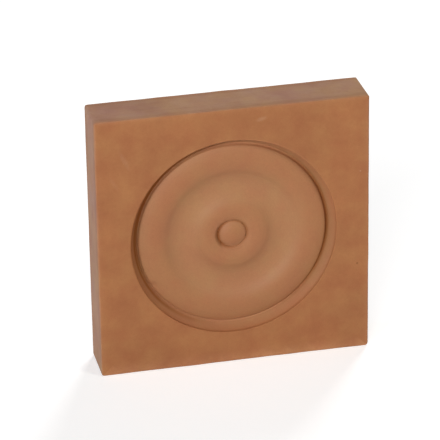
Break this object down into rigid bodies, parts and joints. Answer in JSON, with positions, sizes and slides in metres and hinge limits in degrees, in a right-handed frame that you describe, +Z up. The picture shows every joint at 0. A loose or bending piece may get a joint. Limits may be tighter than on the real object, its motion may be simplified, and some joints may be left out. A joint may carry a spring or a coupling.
{
  "type": "corner rosette block",
  "caption": "Square raw fibreboard trim block with a round bullseye rosette cut into its face, set where two casings meet at the corner of a door or window.",
  "frame": {"origin": "middle of the back face, which lies on the wall", "axes": "+Z up the wall, +Y out of the back into the wall, so the rosette faces -Y, and +X to the right of someone facing the rosette"},
  "size_m": [0.1, 0.018, 0.1],
  "materials": {
    "raw_fibreboard": "raw medium-density fibreboard, matt, unsealed"
  },
  "bodies": {
    "root": {"rosette_block": "raw_fibreboard"}
  },
  "joints": []
}
